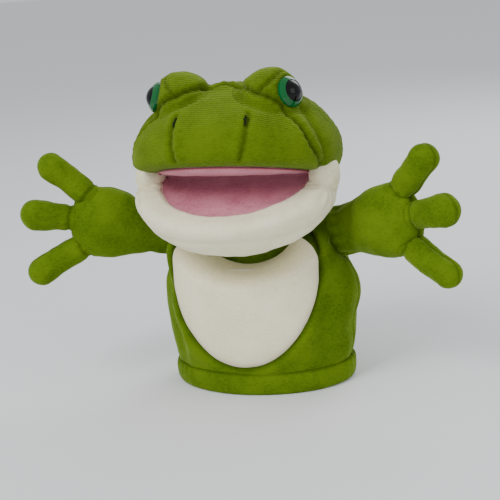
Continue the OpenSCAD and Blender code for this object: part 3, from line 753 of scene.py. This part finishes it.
for name, height, angle, body, nodes, thick in (
        ("palate_cloth", palate_height, HEAD_PITCH, "head", ("palate_lining",), -0.9),
        ("mouth_floor_cloth", floor_height, JAW_PITCH, "jaw", ("jaw_floor",), 0.9)):
    grid = half_oval(height, MOUTH_HALF_W, MOUTH_LEN, thick, 1.5)
    q = grid.reshape(-1, 3)
    q = q + (np.array([0, 0, 0.35])) * slack(q, 22, 3)[:, None]
    back_shade = 0.75 * np.clip((q[:, 1] + 26) / 26, 0, 1) ** 1.5
    rim_share = np.hypot(q[:, 0] / MOUTH_HALF_W, (q[:, 1] + 3) / MOUTH_LEN)
    edge_shade = 0.5 * np.clip((rim_share - 0.93) / 0.07, 0, 1)
    piece = cloth(name, pitched(q, angle), net(50, 240), PINK,
                  np.maximum(back_shade, edge_shade))
    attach(piece, body)
    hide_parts(*nodes)
    fan = np.linspace(math.pi * 1.02, 2 * math.pi * 0.99, 160)
    x, y = (MOUTH_HALF_W + 0.6) * np.cos(fan), (MOUTH_LEN + 0.6) * np.sin(fan) - 3
    z = np.full_like(x, -0.9 if body == "head" else -0.8)
    line = np.stack([x, y, z], -1)
    around = np.linspace(0, 2 * math.pi, 10, endpoint=False)
    out = np.stack([np.cos(fan), np.sin(fan), np.zeros_like(fan)], -1)
    girth = (0.6 + 0.14 * np.sin(np.arange(160) * 1.9))[:, None, None]
    cord_ring = girth * (out[:, None, :] * np.cos(around)[None, :, None]
                         + np.array([0, 0, 1]) * np.sin(around)[None, :, None])
    q = (line[:, None, :] + cord_ring).reshape(-1, 3)
    edging = cloth(name.split("_")[0] + "_edge_seam", pitched(q, angle), net(160, 10),
                   seam_red.material)
    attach(edging, body)

FOLD_HALF_W, FOLD_R = 61.5, 4.3
length = np.linspace(-FOLD_HALF_W, FOLD_HALF_W, 120)
around = np.linspace(0, 2 * math.pi, 28, endpoint=False)
girth = (FOLD_R * (1 - np.abs(length / (FOLD_HALF_W + 0.1)) ** 18) ** 0.5
         + 0.25 * np.sin(length * 0.55) * (np.abs(length) < 58))
roll = np.stack([np.broadcast_to(length[:, None], (120, 28)), girth[:, None] * np.cos(around),
                 girth[:, None] * np.sin(around)], -1).reshape(-1, 3)
# Painted shade over the whole fold roll at the back of the mouth.
fold_roll = cloth("mouth_fold_cloth", roll + FOLD, net(120, 28), PINK,
                  np.full(len(roll), 0.7))
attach(fold_roll, "neck")
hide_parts("mouth_fold")

# ---- Neck ----
# A band of the same green plush that joins the body to the back of the head and to the rear
# of the jaw. It is soft and unstuffed, with a few wrinkles round it.

rise = np.linspace(0, 1, 46)
turn = np.linspace(0, math.pi, 120)
c, s = np.cos(turn), np.sin(turn)
strip = []
for t in rise:
    ring = np.stack([(48.0 - 2.0 * t) * c, 3 + (28.5 - 8.0 * t) * s - 5 * (1 - s), np.zeros_like(c)], -1)
    head_base = FOLD[2] + math.tan(HEAD_PITCH) * (ring[:, 1] - FOLD[1]) + 6.0
    ring[:, 2] = NECK_Z + (head_base - NECK_Z) * t
    swell = 1.6 * math.sin(math.pi * t) ** 2 + 0.7 * np.sin(turn * 13 + 5 * t) * math.sin(math.pi * t)
    ring[:, :2] *= (1 + swell / 45)[:, None]
    strip.append(ring)
outer = np.array(strip)
inner = outer * (0.955, 0.945, 1)
neck = cloth("neck_cloth", np.concatenate([outer, inner[:, ::-1]], axis=1).reshape(-1, 3),
             net(46, 240), GREEN, flip=True)
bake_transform(neck)
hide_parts("neck_tube")

# ---- Hand pockets ----
# Two flat bags of the lining cotton inside the stuffing, one above the palate for the fingers
# and one under the mouth floor for the thumb. Both open towards the neck.


def bag(name, low, high, angle, body, node):
    """A soft-cornered bag between two corners in the frame of the head or the jaw."""
    low, high = np.asarray(low, float), np.asarray(high, float)
    middle, half = (low + high) / 2, (high - low) / 2
    q = ways * 1.0
    q = np.sign(q) * np.abs(q) ** 0.42
    q /= np.abs(q).max(1, keepdims=True) ** 0.25
    q = middle + q / np.abs(q).max() * half * (1 - 0.05 * slack(ways * 40, 30, 2)[:, None])
    piece = cloth(name, pitched(q, angle), faces, COTTON)
    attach(piece, body)
    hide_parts(node)


bag("finger_bag", (-43, -46, 3.4), (43, 40, 27.4), HEAD_PITCH, "head", "finger_pocket")
bag("thumb_bag", (-23, -48, -34.4), (23, -9, -10.4), JAW_PITCH, "jaw", "thumb_pocket")

# ---- Arms ----
# Each arm is a sleeve that widens into a flat palm, two layers of green plush sewn round the
# edge and stuffed. Its open end is sewn to the body, where the cloth is gathered into creases.

ARM_FORWARD, ARM_RAISE = math.radians(-32), math.radians(-15)
FINGERS = (("upper", 78.0, 19.0, 30.0, 42.0, 11.5), ("middle", 88.0, 0.0, -2.0, 33.0, 13.0),
           ("lower", 75.0, -19.0, -40.0, 45.0, 11.5))


def turned_y(p, angle):
    c, s = math.cos(angle), math.sin(angle)
    return p @ np.array([[c, 0, -s], [0, 1, 0], [s, 0, c]])


def turned_z(p, angle):
    c, s = math.cos(angle), math.sin(angle)
    return p @ np.array([[c, s, 0], [-s, c, 0], [0, 0, 1]])


def on_arm(p, side):
    """From an arm's own frame, x along it and z up the palm, to the whole puppet's."""
    q = turned_z(turned_y(np.asarray(p, float), ARM_RAISE), ARM_FORWARD) + SHOULDER
    return q * (side, 1, 1)


stations = (-12, -6, 2, 12, 24, 38, 50, 62, 72, 80, 86, 90, 92)
half_h = (13, 17.5, 20.0, 20.4, 21.3, 24.0, 27.6, 29.3, 28.0, 24.0, 18.0, 11.5, 0.5)
half_t = (10, 13.5, 15.5, 15.8, 16.2, 17.4, 18.8, 19.4, 18.4, 15.8, 12.0, 7.8, 0.4)
for side, tag in ((1, "left"), (-1, "right")):
    x = -12 + 104 * (1 - (1 - np.linspace(0, 1, 110)) ** 1.35)
    hh, ht = spline(x, stations, half_h).clip(0.3), spline(x, stations, half_t).clip(0.3)
    around = np.linspace(0, 2 * math.pi, 150, endpoint=False)
    c, s = np.cos(around), np.sin(around)
    y = ht[:, None] * np.sign(c) * np.abs(c) ** 0.92
    z = hh[:, None] * np.sign(s) * np.abs(s) ** 0.92
    q = np.stack([np.broadcast_to(x[:, None], y.shape), y, z], -1).reshape(-1, 3)
    arm_faces = net(110, 150)
    n = normals(q, arm_faces)
    if (n[:, 1] * q[:, 1]).sum() < 0:
        n = -n
    edge = np.exp(-(q[:, 1] / 1.7) ** 2) * (np.abs(q[:, 2]) > 8)
    root = np.exp(-((q[:, 0] - 8) / 13) ** 2)
    gathers = root * np.sin(np.arctan2(q[:, 2], q[:, 1]) * 11 + 1.3 * side)
    wrinkle = (np.exp(-((q[:, 0] - 30 - 0.3 * q[:, 2]) / 5) ** 2)
               + 0.8 * np.exp(-((q[:, 0] - 18 + 0.2 * q[:, 2]) / 4) ** 2))
    lift = (-1.5 * edge + 0.8 * gathers - 1.3 * wrinkle * (0.5 + 0.5 * np.sin(q[:, 2] / 9 + side))
            + 1.0 * slack(q, 40, 3 + side) + 0.4 * slack(q, 15, 6))
    # Painted shade along the edge seam and in the wrinkles.
    shade = 0.55 * edge + 0.25 * wrinkle * 0.5
    for _, fx, fz, tilt, _, _ in FINGERS:
        spot = q - (fx, 0, fz)
        ahead = turned_y(spot, math.radians(tilt))
        socket = np.exp(-((np.linalg.norm(ahead - (4, 0, 0), axis=1) - 11.5) / 2.6) ** 2)
        lift += 0.9 * socket
    q = q + n * lift[:, None]
    arm = cloth("arm_sleeve_" + tag, on_arm(q, side), arm_faces, GREEN, shade,
                flip=side > 0)
    start, end = on_arm([[-2, 0, 0]], side)[0], on_arm([[34, 0, 0]], side)[0]
    tuple(start / 1000)
    tuple(end / 1000)
    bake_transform(arm)
    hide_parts("arm_" + tag, "arm_filling_" + tag)

    for finger, fx, fz, tilt, long, tip in FINGERS:
        x = np.concatenate([np.linspace(-7, long, 60),
                            long + tip * np.sin(np.linspace(0, math.pi / 2, 24)[1:])])
        r = spline(x, (-7, -3, 2, 5, 9, 16, 26, long), (7.0, 9.8, 10.9, 10.8, 11.0, 11.4, tip - 0.4, tip))
        dome = x > long
        r[dome] = tip * np.sqrt(np.maximum(1 - ((x[dome] - long) / tip) ** 2, 0.0006))
        around = np.linspace(0, 2 * math.pi, 72, endpoint=False)
        q = np.stack([np.broadcast_to(x[:, None], (len(x), 72)), r[:, None] * np.cos(around),
                      r[:, None] * np.sin(around)], -1).reshape(-1, 3)
        out = q * (0, 1, 1)
        out /= np.maximum(np.linalg.norm(out, axis=1, keepdims=True), 1e-6)
        edge = np.exp(-(q[:, 1] / 1.5) ** 2) * (q[:, 0] > 6)
        ring = np.exp(-((q[:, 0] - 5 - 0.02 * q[:, 1] ** 2) / 1.7) ** 2)
        pull = (-1.1 * edge - 0.9 * ring + 0.35 * np.sin(np.arctan2(q[:, 2], q[:, 1]) * 8)
                * np.exp(-((q[:, 0] - 9) / 5) ** 2)
                + 0.8 * slack(q, 34, fx / 9 + side) + 0.3 * slack(q, 13, fz))
        pull *= np.clip((long + tip - q[:, 0]) / 6, 0, 1)
        q = q + out * pull[:, None]
        placed = turned_y(q, math.radians(-tilt)) + (fx, 0, fz)
        # Painted shade along each finger's edge seam and in the ring where it joins the palm.
        piece = cloth(f"{finger}_finger_cover_{tag}", on_arm(placed, side), net(len(x), 72), GREEN,
                      0.5 * edge + 0.55 * ring, flip=side < 0)
        ends = turned_y(np.array([[-3.0, 0, 0], [9.0, 0, 0]]), math.radians(-tilt)) + (fx, 0, fz)
        start, end = on_arm(ends, side) / 1000
        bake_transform(piece)
        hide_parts(f"{finger}_finger_{tag}", f"{finger}_finger_filling_{tag}")

# ---- Floor, light and view ----
# A plain pale table under the puppet, lit by three large soft panels and an even sky. The
# camera stands a little to the right of the front, above the arms, and is rolled slightly.

paper = Finish("pale_table", Roughness=0.8)
paper.feed("Base Color", paper.mix(Level(paper.node("ShaderNodeTexNoise", None, {"Scale": 3.0}).outputs[0]),
                                   (0.78, 0.79, 0.80), (0.82, 0.82, 0.82)))
mesh = bpy.data.meshes.new("table")
mesh.from_pydata([(-6, -6, 0), (6, -6, 0), (6, 6, 0), (-6, 6, 0)], [], [(0, 1, 2, 3)])
mesh.materials.append(paper.material)
table = bpy.data.objects.new("table", mesh)
bpy.context.scene.collection.objects.link(table)

sky = bpy.data.worlds.new("even_sky")
sky.use_nodes = True
sky.node_tree.nodes["Background"].inputs["Color"].default_value = (0.93, 0.96, 1.0, 1)
sky.node_tree.nodes["Background"].inputs["Strength"].default_value = 0.75
bpy.context.scene.world = sky
for name, spot, aim, power, size in (("key", (-0.55, -1.1, 1.25), (0, 0, 0.12), 17, 0.7),
                                     ("fill", (1.3, -0.7, 0.7), (0, 0, 0.12), 5, 1.0),
                                     ("back", (0.3, 1.2, 1.0), (0, 0, 0.15), 8, 0.9)):
    lamp = bpy.data.lights.new(name, "AREA")
    lamp.energy, lamp.size = power, size
    panel = bpy.data.objects.new(name, lamp)
    bpy.context.scene.collection.objects.link(panel)
    panel.location = spot
    aim_at = np.asarray(aim) - np.asarray(spot)
    panel.rotation_euler = Vector(aim_at).to_track_quat("-Z", "Y").to_euler()

azimuth, elevation, roll = math.radians(20), math.radians(14), math.radians(5)
target, distance = Vector((-0.002, -0.010, 0.110)), 1.1
back = Vector((math.sin(azimuth) * math.cos(elevation), -math.cos(azimuth) * math.cos(elevation),
               math.sin(elevation)))
right = Vector((math.cos(azimuth), math.sin(azimuth), 0))
up = back.cross(right)
lens = bpy.data.cameras.new("view")
lens.lens, lens.sensor_width = 96.6, 36.0
camera = bpy.data.objects.new("view", lens)
bpy.context.scene.collection.objects.link(camera)
across = right * math.cos(roll) - up * math.sin(roll)
upward = right * math.sin(roll) + up * math.cos(roll)
camera.matrix_world = Matrix.Translation(target + back * distance) @ Matrix(
    (across, upward, back)).transposed().to_4x4()
bpy.context.scene.camera = camera
